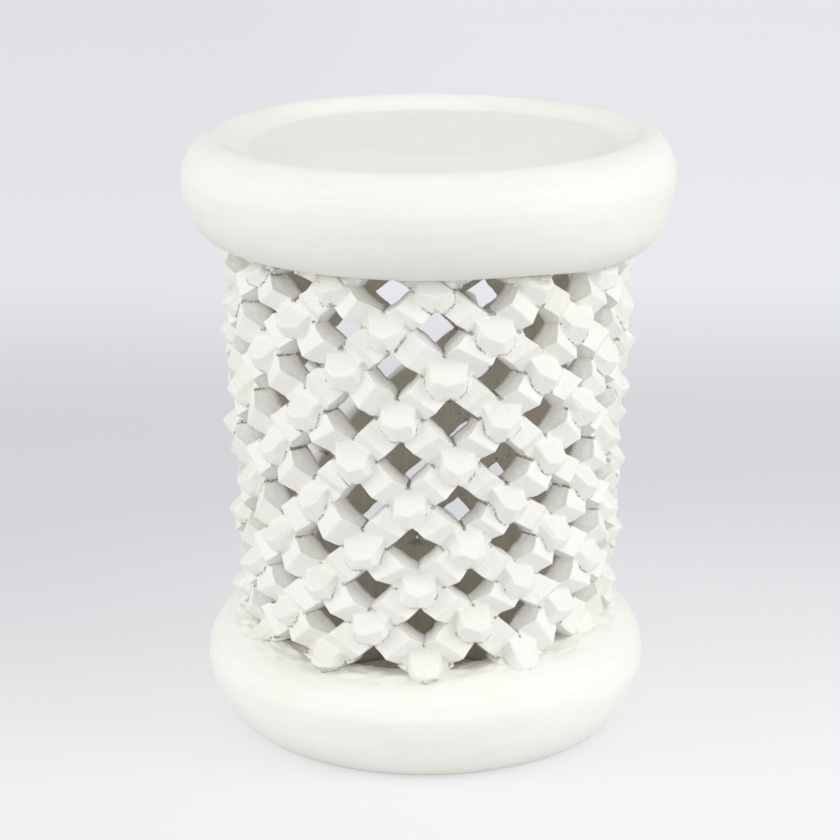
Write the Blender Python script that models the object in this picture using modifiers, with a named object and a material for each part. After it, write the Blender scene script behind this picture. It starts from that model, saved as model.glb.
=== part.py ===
"""Openwork drum stool: a dished seat and a foot ring held apart by two families of crossing strands.

The drum wall is laid out on two sets of slanting strands. A right strand falls to the viewer's right
and a left strand to the viewer's left. They are halved over each other at every crossing: the right
strand keeps its outer half there and carries the boss, the left strand keeps its inner half and runs
under it. Between two crossings each strand rises to a ridge across its width. The strand ends stand
in a ring groove under the seat and another on top of the foot ring.
"""

import math

import bmesh
import bpy
from mathutils import Vector

# Overall sizes, in metres
STOOL_HEIGHT = 0.450

# Seat: a thick turned disc with a rolled rim and a shallow dish
SEAT_RADIUS = 0.180
SEAT_ROLL_ABOVE = 0.031
SEAT_ROLL_BELOW = 0.0545
SEAT_CREST_INSET = 0.024
SEAT_UNDERSIDE_INSET = 0.0375
DISH_DEPTH = 0.0095
DISH_BORDER = 0.016
SEAT_GROOVE_DEPTH = 0.008

# Foot ring: a turned ring with a rounded outside and a flat underside
FOOT_RADIUS = 0.165
FOOT_ROLL_ABOVE = 0.042
FOOT_ROLL_BELOW = 0.052
FOOT_CREST_INSET = 0.038
FOOT_UNDERSIDE_INSET = 0.036
FOOT_LIP_WIDTH = 0.009
FOOT_GROOVE_DEPTH = 0.013

# Drum wall between them
SEAT_OVERHANG = 0.0245
FOOT_OVERHANG = 0.0195
WALL_DEPTH = 0.028
RELIEF_DEPTH = 0.011
STRANDS_PER_FAMILY = 12
CROSSING_ROWS = 10
TOP_ROW_BELOW_SEAT = 0.0035
BOTTOM_ROW_BELOW_FOOT_CREST = 0.0032
ROW_PITCH_SHRINK = 0.0006
STRAND_WIDTH = 0.020
BOSS_CHAMFER = 0.0055
FIRST_STRAND_ANGLE = math.radians(2.7)
TWIST_PER_ROW = math.radians(1.36)

# Fits and mesh fineness
JOINT_CLEARANCE = 0.0004
TURNED_STEPS = 60
ROLL_STEPS = 6
ROLL_FULLNESS = 1.9
MERGE_DISTANCE = 0.00005

PAINT_COLOUR = (0.90, 0.90, 0.86, 1.0)
PAINT_ROUGHNESS = 0.55

# Levels that follow from the sizes above
SEAT_WIDEST_Z = STOOL_HEIGHT - SEAT_ROLL_ABOVE
SEAT_UNDERSIDE_Z = SEAT_WIDEST_Z - SEAT_ROLL_BELOW
FOOT_WIDEST_Z = FOOT_ROLL_BELOW
FOOT_CREST_Z = FOOT_WIDEST_Z + FOOT_ROLL_ABOVE
TOP_ROW_Z = SEAT_UNDERSIDE_Z - TOP_ROW_BELOW_SEAT
BOTTOM_ROW_Z = FOOT_CREST_Z - BOTTOM_ROW_BELOW_FOOT_CREST
DRUM_TOP_RADIUS = SEAT_RADIUS - SEAT_OVERHANG
DRUM_FOOT_RADIUS = FOOT_RADIUS - FOOT_OVERHANG
SEAT_GROOVE_FLOOR_Z = SEAT_UNDERSIDE_Z + SEAT_GROOVE_DEPTH
FOOT_GROOVE_FLOOR_Z = FOOT_CREST_Z - FOOT_GROOVE_DEPTH

# Turn of each family for one row down the drum
STRAND_STEP = 2.0 * math.pi / STRANDS_PER_FAMILY
RIGHT_TURN = 0.5 * STRAND_STEP + TWIST_PER_ROW
LEFT_TURN = 0.5 * STRAND_STEP - TWIST_PER_ROW

# Row spacing: it shrinks evenly from the seat to the foot and fills the height between them
LAST_ROW = CROSSING_ROWS - 1
MEAN_ROW_PITCH = (TOP_ROW_Z - BOTTOM_ROW_Z) / LAST_ROW
TOP_ROW_PITCH = MEAN_ROW_PITCH + 0.5 * ROW_PITCH_SHRINK * LAST_ROW

# Half widths measured along the other family, as a share of the way from crossing to crossing
HALF_CELL_WIDTH = 0.5 * STRAND_STEP * 0.5 * (DRUM_TOP_RADIUS + DRUM_FOOT_RADIUS)
CELL_SIDE = math.hypot(HALF_CELL_WIDTH, MEAN_ROW_PITCH)
STRAND_SPACING = 2.0 * HALF_CELL_WIDTH * MEAN_ROW_PITCH / CELL_SIDE
HALF_WIDTH = 0.5 * STRAND_WIDTH / STRAND_SPACING
HALF_NOTCH = HALF_WIDTH + JOINT_CLEARANCE / STRAND_SPACING


def clear_scene():
    """Remove every object that the scene starts with."""
    for scene_object in list(bpy.data.objects):
        bpy.data.objects.remove(scene_object, do_unlink=True)


def paint_material(name):
    """Matte white paint on carved wood."""
    material = bpy.data.materials.new(name)
    material.use_nodes = True
    shader = material.node_tree.nodes["Principled BSDF"]
    shader.inputs["Base Color"].default_value = PAINT_COLOUR
    shader.inputs["Roughness"].default_value = PAINT_ROUGHNESS
    shader.inputs["Metallic"].default_value = 0.0
    return material


def row_height(row):
    """Height of a crossing row, counted down from the seat; parts of a row lie in between."""
    return TOP_ROW_Z - row * (TOP_ROW_PITCH - 0.5 * ROW_PITCH_SHRINK * row)


def tip_radius(row):
    """Radius of the bosses and ridges at a row: the drum narrows evenly from seat to foot."""
    share = (TOP_ROW_Z - row_height(row)) / (TOP_ROW_Z - BOTTOM_ROW_Z)
    return DRUM_TOP_RADIUS + share * (DRUM_FOOT_RADIUS - DRUM_TOP_RADIUS)


def inner_radius(row):
    """Radius of the inside of the wall at a row."""
    return tip_radius(row) - WALL_DEPTH


def lap_radius(row):
    """Radius where the two strands of a crossing meet, half way through the wall."""
    return tip_radius(row) - 0.5 * (WALL_DEPTH + RELIEF_DEPTH)


def rolled_edge(centre_r, centre_z, reach, rise):
    """Quarter of a full, rounded roll from its widest point to its top or bottom edge."""
    points = []
    for step in range(ROLL_STEPS + 1):
        angle = 0.5 * math.pi * step / ROLL_STEPS
        across = math.cos(angle) ** (2.0 / ROLL_FULLNESS)
        up = math.sin(angle) ** (2.0 / ROLL_FULLNESS)
        points.append((centre_r + reach * across, centre_z + rise * up))
    return points


def groove_radii(row):
    """Inner and outer radius of the ring groove that takes the strand ends next to a row."""
    inner = min(inner_radius(row - 1), inner_radius(row + 1)) - JOINT_CLEARANCE
    widest_tip = max(tip_radius(row - 1), tip_radius(row + 1))
    half_ridge = HALF_WIDTH * max(RIGHT_TURN, LEFT_TURN) * widest_tip
    facet = math.cos(math.pi / TURNED_STEPS)
    outer = (math.hypot(widest_tip, half_ridge) + JOINT_CLEARANCE) / facet
    return inner, outer


def roll_height(radius, centre_r, centre_z, reach, rise):
    """Height of a rolled edge at a radius between its edge and its widest point."""
    share = min(max((radius - centre_r) / reach, 0.0), 1.0)
    return centre_z + rise * (1.0 - share ** ROLL_FULLNESS) ** (1.0 / ROLL_FULLNESS)


def seat_profile():
    """Outline of the seat from the middle of the dish, over the rim and back under to the middle."""
    crest_radius = SEAT_RADIUS - SEAT_CREST_INSET
    under_radius = SEAT_RADIUS - SEAT_UNDERSIDE_INSET
    dish_z = STOOL_HEIGHT - DISH_DEPTH
    groove_inner, groove_outer = groove_radii(0)
    dish_roll = rolled_edge(crest_radius, dish_z, -DISH_BORDER, DISH_DEPTH)
    upper_roll = rolled_edge(crest_radius, SEAT_WIDEST_Z, SEAT_CREST_INSET, SEAT_ROLL_ABOVE)
    lower_roll = rolled_edge(under_radius, SEAT_WIDEST_Z, SEAT_UNDERSIDE_INSET, -SEAT_ROLL_BELOW)
    mouth_z = roll_height(groove_outer, under_radius, SEAT_WIDEST_Z, SEAT_UNDERSIDE_INSET, -SEAT_ROLL_BELOW)
    points = [(0.0, dish_z)] + dish_roll[:-1] + upper_roll[::-1]
    points += [point for point in lower_roll[1:] if point[0] > groove_outer + MERGE_DISTANCE]
    points += [(groove_outer, mouth_z), (groove_outer, SEAT_GROOVE_FLOOR_Z)]
    points += [(groove_inner, SEAT_GROOVE_FLOOR_Z), (groove_inner, SEAT_UNDERSIDE_Z)]
    points.append((0.0, SEAT_UNDERSIDE_Z))
    return points


def foot_profile():
    """Closed outline of the foot ring: inner lip, groove, rounded outside, flat underside, bore."""
    crest_radius = FOOT_RADIUS - FOOT_CREST_INSET
    under_radius = FOOT_RADIUS - FOOT_UNDERSIDE_INSET
    groove_inner, groove_outer = groove_radii(LAST_ROW)
    bore = groove_inner - FOOT_LIP_WIDTH
    mouth_z = roll_height(groove_outer, crest_radius, FOOT_WIDEST_Z, FOOT_CREST_INSET, FOOT_ROLL_ABOVE)
    upper_roll = rolled_edge(crest_radius, FOOT_WIDEST_Z, FOOT_CREST_INSET, FOOT_ROLL_ABOVE)
    lower_roll = rolled_edge(under_radius, FOOT_WIDEST_Z, FOOT_UNDERSIDE_INSET, -FOOT_ROLL_BELOW)
    points = [(bore, FOOT_CREST_Z), (groove_inner, FOOT_CREST_Z)]
    points += [(groove_inner, FOOT_GROOVE_FLOOR_Z), (groove_outer, FOOT_GROOVE_FLOOR_Z)]
    points.append((groove_outer, mouth_z))
    points += [point for point in reversed(upper_roll) if point[0] > groove_outer + MERGE_DISTANCE]
    points += lower_roll[1:]
    points.append((bore, 0.0))
    return points


def turned_piece(name, profile, closed, collection):
    """Turn a profile of (radius, height) points once round the Z axis."""
    vertices = [(radius, 0.0, height) for radius, height in profile]
    edges = [(index, index + 1) for index in range(len(vertices) - 1)]
    if closed:
        edges.append((len(vertices) - 1, 0))
    mesh = bpy.data.meshes.new(name)
    mesh.from_pydata(vertices, edges, [])
    piece = bpy.data.objects.new(name, mesh)
    collection.objects.link(piece)
    screw = piece.modifiers.new("turning", "SCREW")
    screw.axis = "Z"
    screw.angle = 2.0 * math.pi
    screw.steps = TURNED_STEPS
    screw.render_steps = TURNED_STEPS
    screw.use_merge_vertices = True
    screw.merge_threshold = MERGE_DISTANCE
    screw.use_smooth_shade = True
    mesh.materials.append(paint_material(name + "_paint"))
    return piece


class WallFrame:
    """Straight local axes on the drum wall: outwards, sideways and up from one place in the lattice."""

    def __init__(self, row, angle):
        self.row = row
        self.outward = Vector((math.sin(angle), -math.cos(angle), 0.0))
        self.sideways = Vector((math.cos(angle), math.sin(angle), 0.0))

    def point(self, along_right, along_left, radius):
        """Place a point by its steps along the right and left strands and its distance outwards."""
        turn = RIGHT_TURN * along_right - LEFT_TURN * along_left
        shift = turn * tip_radius(self.row)
        height = row_height(self.row + along_right + along_left)
        return self.outward * radius + self.sideways * shift + Vector((0.0, 0.0, height))


class Strand:
    """One strand of the drum: a bar of six-sided section with laps at the crossings and ridges between."""

    def __init__(self, family_is_right, first_angle):
        self.is_right = family_is_right
        self.first_angle = first_angle
        self.mesh = bmesh.new()

    def frame(self, row):
        """Local axes of the wall where this strand passes a row."""
        turn = RIGHT_TURN if self.is_right else -LEFT_TURN
        return WallFrame(row, self.first_angle + turn * row)

    def section(self, frame, along, outer_radius):
        """Ring of six corners across the strand: inside, lap and outside on each of its two sides."""
        gap = 0.5 * JOINT_CLEARANCE
        lap = lap_radius(frame.row) + (gap if self.is_right else -gap)
        inside = inner_radius(frame.row)
        corners = [(-HALF_WIDTH, inside), (-HALF_WIDTH, lap), (-HALF_WIDTH, outer_radius)]
        corners += [(HALF_WIDTH, outer_radius), (HALF_WIDTH, lap), (HALF_WIDTH, inside)]
        ring = []
        for across, radius in corners:
            steps = (along, across) if self.is_right else (across, along)
            ring.append(self.mesh.verts.new(frame.point(steps[0], steps[1], radius)))
        return ring

    def bridge(self, first, second):
        """Close the six sides between two neighbouring rings."""
        for side in range(6):
            after = (side + 1) % 6
            self.mesh.faces.new((first[side], first[after], second[after], second[side]))

    def lap(self, first, second):
        """Close the half of the strand that crosses another one; returns its outward face."""
        kept = (1, 2, 3, 4) if self.is_right else (0, 1, 4, 5)
        faces = []
        for place in range(4):
            side, after = kept[place], kept[(place + 1) % 4]
            faces.append(self.mesh.faces.new((first[side], first[after], second[after], second[side])))
        step = (0, 1, 4, 5) if self.is_right else (1, 2, 3, 4)
        for ring in (first, second):
            self.mesh.faces.new([ring[corner] for corner in step])
        return faces[1]

    def valley_radius(self, frame):
        """Radius of the notch between a boss and a ridge."""
        return tip_radius(frame.row) - RELIEF_DEPTH

    def build(self):
        """Loft the strand past the top and bottom rows, add its bosses and cut both ends level."""
        outer_faces = []
        last_ring = None
        for row in range(-1, CROSSING_ROWS + 1):
            crossing = self.frame(row)
            above = self.section(crossing, -HALF_NOTCH, self.valley_radius(crossing))
            below = self.section(crossing, HALF_NOTCH, self.valley_radius(crossing))
            if last_ring:
                ridge_frame = self.frame(row - 0.5)
                ridge = self.section(ridge_frame, 0.0, tip_radius(ridge_frame.row))
                self.bridge(last_ring, ridge)
                self.bridge(ridge, above)
            outer_faces.append(self.lap(above, below))
            last_ring = below
        bmesh.ops.holes_fill(self.mesh, edges=self.mesh.edges, sides=0)
        bmesh.ops.recalc_face_normals(self.mesh, faces=self.mesh.faces)
        if self.is_right:
            bmesh.ops.inset_individual(
                self.mesh, faces=outer_faces, thickness=BOSS_CHAMFER, depth=RELIEF_DEPTH,
                use_even_offset=True)
        self.cut_level(SEAT_GROOVE_FLOOR_Z - JOINT_CLEARANCE, 1.0)
        self.cut_level(FOOT_GROOVE_FLOOR_Z + JOINT_CLEARANCE, -1.0)
        return self.mesh

    def cut_level(self, height, upward):
        """Cut away what lies past a level and close the end flat."""
        geometry = list(self.mesh.verts) + list(self.mesh.edges) + list(self.mesh.faces)
        cut = bmesh.ops.bisect_plane(
            self.mesh, geom=geometry, dist=MERGE_DISTANCE, plane_co=(0.0, 0.0, height),
            plane_no=(0.0, 0.0, upward), clear_outer=True)
        rim = [item for item in cut["geom_cut"] if isinstance(item, bmesh.types.BMEdge)]
        bmesh.ops.holes_fill(self.mesh, edges=rim, sides=0)
        bmesh.ops.recalc_face_normals(self.mesh, faces=self.mesh.faces)


def strand_piece(name, family_is_right, first_angle, collection):
    """Make one strand as an object with its own paint."""
    mesh = bpy.data.meshes.new(name)
    strand_mesh = Strand(family_is_right, first_angle).build()
    strand_mesh.to_mesh(mesh)
    strand_mesh.free()
    mesh.materials.append(paint_material(name + "_paint"))
    piece = bpy.data.objects.new(name, mesh)
    collection.objects.link(piece)
    return piece


def build_stool():
    """Build the seat, the foot ring and both families of strands."""
    clear_scene()
    collection = bpy.data.collections.new("openwork_stool")
    bpy.context.scene.collection.children.link(collection)
    turned_piece("seat", seat_profile(), False, collection)
    turned_piece("foot_ring", foot_profile(), True, collection)
    for number in range(STRANDS_PER_FAMILY):
        angle = FIRST_STRAND_ANGLE + number * STRAND_STEP
        strand_piece(f"right_strand_{number + 1:02d}", True, angle, collection)
        strand_piece(f"left_strand_{number + 1:02d}", False, angle, collection)


build_stool()
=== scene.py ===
"""Looks of the openwork drum stool: carved surfaces, painted finish, studio and camera.

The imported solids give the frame. Each of the 26 nodes is replaced by a finer surface of the same piece: the
cushion-like seat, the foot ring and the twenty-four slanted strands of the drum with their bosses.
"""
import itertools
import logging
import math
from dataclasses import dataclass, field
from enum import Enum

import bpy
import numpy as np
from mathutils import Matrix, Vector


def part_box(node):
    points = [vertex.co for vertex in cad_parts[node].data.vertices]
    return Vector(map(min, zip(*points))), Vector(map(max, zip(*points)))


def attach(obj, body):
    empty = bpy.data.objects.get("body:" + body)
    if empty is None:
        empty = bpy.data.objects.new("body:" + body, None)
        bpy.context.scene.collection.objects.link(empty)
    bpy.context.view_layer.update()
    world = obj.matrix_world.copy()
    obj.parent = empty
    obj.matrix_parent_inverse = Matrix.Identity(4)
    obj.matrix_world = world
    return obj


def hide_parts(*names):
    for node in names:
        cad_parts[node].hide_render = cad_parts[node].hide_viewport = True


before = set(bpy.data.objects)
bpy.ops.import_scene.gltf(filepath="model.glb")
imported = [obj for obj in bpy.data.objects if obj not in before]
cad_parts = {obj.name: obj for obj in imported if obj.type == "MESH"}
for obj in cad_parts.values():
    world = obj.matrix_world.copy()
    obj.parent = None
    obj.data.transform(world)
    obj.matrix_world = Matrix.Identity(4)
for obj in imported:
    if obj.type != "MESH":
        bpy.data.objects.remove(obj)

LOG = logging.getLogger("drum_stool")
Array = np.ndarray
Socket = bpy.types.NodeSocket
Span = tuple[float, float]
Triple = tuple[float, float, float]
Value = Socket | float | Triple

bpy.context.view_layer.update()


# Array helpers

WORD = 0xFFFFFFFF
AXIS_FACTORS = np.array([374761393, 668265263, 1274126177])
SEED_FACTOR = 974711
MIXING = ((13, 1103515245), (15, 668265263))


def smoothstep(low: float, high: float, value: Array) -> Array:
    """Ease from 0 at low to 1 at high, with level ends; high may lie below low."""
    share = np.clip((value - low) / (high - low), 0.0, 1.0)
    return share * share * (3.0 - 2.0 * share)


def soft_min(first: Array, second: Array, blend: float) -> Array:
    """Lower of two surfaces, with the crease between them rounded over a height difference of blend."""
    rounding = np.maximum(blend - np.abs(first - second), 0.0)
    return np.minimum(first, second) - rounding * rounding / (4.0 * blend)


def soft_max(first: Array, second: Array, blend: float) -> Array:
    """Higher of two surfaces, rounded like soft_min."""
    return -soft_min(-first, -second, blend)


def corner_values(corner: Array, seed: int) -> Array:
    """Even random numbers from -1 to 1 for whole-number grid corners.

    Args:
        corner: whole numbers, last axis of three.
        seed: picks another set of numbers.

    Returns:
        One number for each corner.
    """
    mixed = ((corner * AXIS_FACTORS).sum(axis=-1) + seed * SEED_FACTOR) & WORD
    for shift, factor in MIXING:
        mixed = ((mixed ^ (mixed >> shift)) * factor) & WORD
    return ((mixed >> 8) & 0xFFFF) / 32767.5 - 1.0


def value_noise(points: Array, seed: int) -> Array:
    """Random values on a unit cubic grid, blended with smoothsteps between the eight corners.

    Args:
        points: places in grid units, last axis of three.
        seed: picks another field.

    Returns:
        Noise from -1 to 1.
    """
    cell = np.floor(points).astype(np.int64)
    share = smoothstep(0.0, 1.0, points - cell)
    total = np.zeros(points.shape[:-1])
    for step in itertools.product((0, 1), repeat=3):
        weight = np.prod(np.where(np.array(step) == 1, share, 1.0 - share), axis=-1)
        total += weight * corner_values(cell + np.array(step), seed)
    return total


def noise_at(first: Array, second: Array, third: Array, seed: int) -> Array:
    """Value noise at three coordinates that spread to one shape."""
    return value_noise(np.stack(np.broadcast_arrays(first, second, third), axis=-1), seed)


@dataclass(frozen=True)
class Change:
    """A change that grows smoothly from nothing at start to amount at end; end may lie below start."""

    amount: float
    start: float
    end: float

    def at(self, value: Array) -> Array:
        """How much of the change has come about at each value."""
        return self.amount * smoothstep(self.start, self.end, value)


@dataclass(frozen=True)
class Roughness:
    """Noise all over a solid: its strength, the size of its blotches in metres and its seed."""

    amount: float
    size: float
    seed: int

    def at(self, points: Array) -> Array:
        """Noise at points of the solid."""
        return self.amount * value_noise(points / self.size, self.seed)


@dataclass(frozen=True)
class Waver:
    """Noise along a bar: its strength, the number of waves for each row and its seed."""

    amount: float
    pace: float
    seed: int

    def at(self, along: Array, second: Array, third: Array) -> Array:
        """Noise at row coordinates, with two more coordinates that keep the bars and their sides apart."""
        return self.amount * noise_at(along * self.pace, second, third, self.seed)


def rolled_edge(start: Span, end: Span, fullness: float, steps: int, level_first: bool) -> Array:
    """Quarter of a superellipse from start to end, as (radius, height) points.

    The quarter leaves level and arrives upright where level_first is true, and the other way round where it
    is not.

    Args:
        start: first point.
        end: last point.
        fullness: exponent of the superellipse: 2 is an ellipse, and less is flatter.
        steps: number of points.
        level_first: whether the curve is level at its start.

    Returns:
        Points, one row each, both ends included.
    """
    turn = np.linspace(0.0, 0.5 * math.pi, steps)
    rising = np.sin(turn) ** (2.0 / fullness)
    falling = 1.0 - np.cos(turn) ** (2.0 / fullness)
    across, along = (rising, falling) if level_first else (falling, rising)
    radius = start[0] + (end[0] - start[0]) * across
    height = start[1] + (end[1] - start[1]) * along
    return np.stack([radius, height], axis=-1)


def straight_run(start: Span, end: Span, steps: int) -> Array:
    """Evenly spaced points from start to end, both included."""
    return np.linspace(np.array(start), np.array(end), steps)


# Mesh building

def add_object(name: str, data: bpy.types.ID) -> bpy.types.Object:
    """Make an object and link it to the scene.

    Args:
        name: name of the object.
        data: its mesh, light or camera.

    Returns:
        The object.
    """
    made = bpy.data.objects.new(name, data)
    bpy.context.scene.collection.objects.link(made)
    return made


@dataclass
class GridSurface:
    """A surface on a grid of rows and columns, whose columns close into a ring.

    With wrap_rows the rows close as well, as on a ring. Without it each end row is closed by a fan to its
    centre.
    """

    name: str
    points: Array
    wrap_rows: bool = False
    uv: Array | None = None
    values: dict[str, Array] = field(default_factory=dict)

    def build(self) -> bpy.types.Object:
        """Make the mesh object, with its faces turned outwards, so that they enclose a positive volume.

        Returns:
            The new object, linked to the scene.
        """
        vertices = self._per_vertex(self.points)
        quads, fans = self._faces()
        triangles = np.concatenate([quads[:, [0, 1, 2]], quads[:, [0, 2, 3]], fans])
        first, second, third = (vertices[triangles[:, index]] for index in range(3))
        if np.einsum("ij,ij->i", first, np.cross(second, third)).sum() < 0.0:
            quads = quads[:, ::-1]
            fans = fans[:, ::-1]
        mesh = self._mesh(vertices, quads, fans)
        for name, numbers in self.values.items():
            layer = mesh.attributes.new(name, "FLOAT", "POINT")
            layer.data.foreach_set("value", self._per_vertex(numbers).astype(np.float32).ravel())
        if self.uv is not None:
            self._lay_uv(mesh)
        return add_object(self.name, mesh)

    def _faces(self) -> tuple[Array, Array]:
        """Find the faces between neighbouring rows and columns, and the fans that close the end rows.

        Returns:
            Corner numbers of the four-sided faces and of the triangles, one row for each face.
        """
        rows, columns = self.points.shape[:2]
        row = np.arange(rows if self.wrap_rows else rows - 1)[:, None]
        column = np.arange(columns)
        right = (column + 1) % columns
        here = row * columns
        below = (row + 1) % rows * columns
        quads = np.stack([here + column, here + right, below + right, below + column], axis=-1).reshape(-1, 4)
        if self.wrap_rows:
            return quads, np.zeros((0, 3), dtype=np.int64)
        base = (rows - 1) * columns
        first = np.stack([right, column, np.full(columns, rows * columns)], axis=-1)
        last = np.stack([base + column, base + right, np.full(columns, rows * columns + 1)], axis=-1)
        return quads, np.concatenate([first, last])

    def _mesh(self, vertices: Array, quads: Array, fans: Array) -> bpy.types.Mesh:
        """Put the corners and faces into a smooth-shaded mesh.

        Args:
            vertices: places of the corners.
            quads: corner numbers of the four-sided faces.
            fans: corner numbers of the triangles.

        Returns:
            The mesh.
        """
        mesh = bpy.data.meshes.new(self.name)
        loops = np.concatenate([quads.ravel(), fans.ravel()])
        sides = np.concatenate([np.full(len(quads), 4), np.full(len(fans), 3)])
        starts = np.concatenate([[0], np.cumsum(sides)[:-1]])
        mesh.vertices.add(len(vertices))
        mesh.vertices.foreach_set("co", vertices.astype(np.float32).ravel())
        mesh.loops.add(len(loops))
        mesh.loops.foreach_set("vertex_index", loops.astype(np.int32))
        mesh.polygons.add(len(sides))
        mesh.polygons.foreach_set("loop_start", starts.astype(np.int32))
        mesh.polygons.foreach_set("loop_total", sides.astype(np.int32))
        mesh.polygons.foreach_set("use_smooth", np.ones(len(sides), dtype=bool))
        mesh.update(calc_edges=True)
        mesh.validate()
        return mesh

    def _per_vertex(self, numbers: Array) -> Array:
        """Spread grid numbers to the vertices, with the fan centres taking their row's mean.

        Args:
            numbers: one number or one row of numbers for each point of the grid.

        Returns:
            The same for each vertex.
        """
        flat = numbers.reshape(-1, *numbers.shape[2:])
        if self.wrap_rows:
            return flat
        return np.concatenate([flat, numbers[[0, -1]].mean(axis=1)])

    def _lay_uv(self, mesh: bpy.types.Mesh) -> None:
        """Write the pattern coordinates of each face corner.

        Args:
            mesh: the mesh of this surface.
        """
        corner = np.empty(len(mesh.loops), dtype=np.int32)
        mesh.loops.foreach_get("vertex_index", corner)
        layer = mesh.uv_layers.new(name="pattern")
        layer.data.foreach_set("uv", self._per_vertex(self.uv)[corner].astype(np.float32).ravel())


# Finishes

@dataclass(frozen=True)
class Blotches:
    """Settings of a smooth noise.

    scale is the number of blotches for each metre, detail the number of finer layers and roughness their
    strength. low and high are the range that patches are eased over, or the range of a swing.
    """

    scale: float
    detail: float
    low: float = 0.0
    high: float = 1.0
    roughness: float = 0.5


class Wiring:
    """Short calls for wiring the nodes of one material."""

    def __init__(self, name: str) -> None:
        """Start a node material that reads object coordinates, in metres, and pattern coordinates.

        Args:
            name: name of the material.
        """
        self.material = bpy.data.materials.new(name)
        self.material.use_nodes = True
        self.tree = self.material.node_tree
        self.tree.nodes.clear()
        coordinates = self.node("TexCoord", {}).outputs
        self.place = coordinates["Object"]
        self.pattern = coordinates["UV"]

    def node(self, kind: str, inputs: dict[str | int, Value], **settings: str | bool) -> bpy.types.Node:
        """Add one node.

        Args:
            kind: type of the node, without the prefix that all of them share.
            inputs: a socket to link or a plain value for each input, by its name or number.
            settings: other properties of the node.

        Returns:
            The node.
        """
        made = self.tree.nodes.new(f"ShaderNode{kind}")
        for name, setting in settings.items():
            setattr(made, name, setting)
        for key, value in inputs.items():
            target = made.inputs[key]
            if isinstance(value, Socket):
                self.tree.links.new(value, target)
            else:
                target.default_value = (*value, 1.0) if target.type == "RGBA" else value
        return made

    def calc(self, operation: str, *values: Socket | float, clamp: bool = False) -> Socket:
        """Arithmetic on one to three numbers, held between 0 and 1 where clamp is true."""
        return self.node("Math", dict(enumerate(values)), operation=operation, use_clamp=clamp).outputs[0]

    def band(self, value: Socket, start: float, end: float) -> Socket:
        """Ease a number from 0 at start to 1 at end; end may lie below start.

        Args:
            value: number to ease.
            start: where the step starts.
            end: where the step is complete.

        Returns:
            The eased number.
        """
        low, high = (0.0, 1.0) if start < end else (1.0, 0.0)
        inputs = {"Value": value, "From Min": min(start, end), "From Max": max(start, end), "To Min": low,
                  "To Max": high}
        return self.node("MapRange", inputs, interpolation_type="SMOOTHSTEP").outputs["Result"]

    def axes(self, vector: Socket) -> tuple[Socket, ...]:
        """Split a vector into its three numbers."""
        return tuple(self.node("SeparateXYZ", {0: vector}).outputs)

    def length(self, first: Socket, second: Socket) -> Socket:
        """Length of a flat vector: the root of the sum of the squares."""
        squares = (self.calc("MULTIPLY", part, part) for part in (first, second))
        return self.calc("SQRT", self.calc("ADD", *squares))

    def grid_value(self, name: str) -> Socket:
        """A number stored on the piece's vertices."""
        return self.node("Attribute", {}, attribute_name=name).outputs["Fac"]

    def noise(self, blotches: Blotches) -> Socket:
        """Smooth noise, about 0.5 in the mean."""
        inputs = {"Scale": blotches.scale, "Detail": blotches.detail, "Roughness": blotches.roughness}
        return self.node("TexNoise", {"Vector": self.place, **inputs}).outputs[0]

    def patches(self, blotches: Blotches) -> Socket:
        """Smooth noise, eased into patches from 0 to 1."""
        return self.band(self.noise(blotches), blotches.low, blotches.high)

    def swing(self, blotches: Blotches) -> Socket:
        """Smooth noise, spread evenly from low to high."""
        return self.calc("MULTIPLY_ADD", self.noise(blotches), blotches.high - blotches.low, blotches.low)

    def streaks(self, vector: Socket, scales: Triple, detail: float, roughness: float) -> Socket:
        """Smooth noise that is drawn out along the axes of a vector that have a small scale.

        Args:
            vector: where to read the noise.
            scales: blotches for each unit of the vector's axes.
            detail: number of finer layers.
            roughness: strength of the finer layers.

        Returns:
            The noise.
        """
        stretched = self.node("Mapping", {"Vector": vector, "Scale": scales}).outputs[0]
        inputs = {"Vector": stretched, "Scale": 1.0, "Detail": detail, "Roughness": roughness}
        return self.node("TexNoise", inputs).outputs[0]

    def blend(self, share: Socket, first: Socket | Triple, second: Socket | Triple) -> Socket:
        """Mix two colours: a share of 0 gives the first and 1 the second."""
        inputs = {"Factor": share, "A": first, "B": second}
        return self.node("Mix", inputs, data_type="RGBA").outputs["Result"]

    def relief(self, *layers: tuple[Socket, float]) -> Socket:
        """Lay bumps over each other.

        Args:
            layers: heights of 0 to 1, and how many metres a height of 1 stands for.

        Returns:
            The bumped normal.
        """
        below = {}
        for height, depth in layers:
            bump = self.node("Bump", {"Strength": 1.0, "Distance": depth, "Height": height, **below})
            below = {"Normal": bump.outputs["Normal"]}
        return below["Normal"]

    def surface(self, inputs: dict[str, Value]) -> bpy.types.Material:
        """Close the material with one plain surface shader that has these inputs."""
        self.node("OutputMaterial", {"Surface": self.node("BsdfPrincipled", inputs).outputs[0]})
        return self.material


@dataclass(frozen=True)
class WhitePaint:
    """Matt white paint, brushed by hand over carved wood."""

    clean: Triple = (0.87, 0.868, 0.815)
    warm: Triple = (0.845, 0.832, 0.760)
    warm_share: float = 0.55
    specular: float = 0.32
    clouds: Blotches = Blotches(14.0, 3.0, 0.42, 0.75)
    roughness: Blotches = Blotches(60.0, 2.0, 0.44, 0.66)

    def colour(self, wiring: Wiring) -> Socket:
        """White with broad, faint warm clouds."""
        warmth = wiring.calc("MULTIPLY", wiring.patches(self.clouds), self.warm_share)
        return wiring.blend(warmth, self.clean, self.warm)

    def surface(self, wiring: Wiring, colour: Socket, normal: Socket) -> bpy.types.Material:
        """Close a painted material: matt, and a little smoother where the brush left it so."""
        return wiring.surface({"Base Color": colour, "Roughness": wiring.swing(self.roughness),
                               "Normal": normal, "Specular IOR Level": self.specular})


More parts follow.
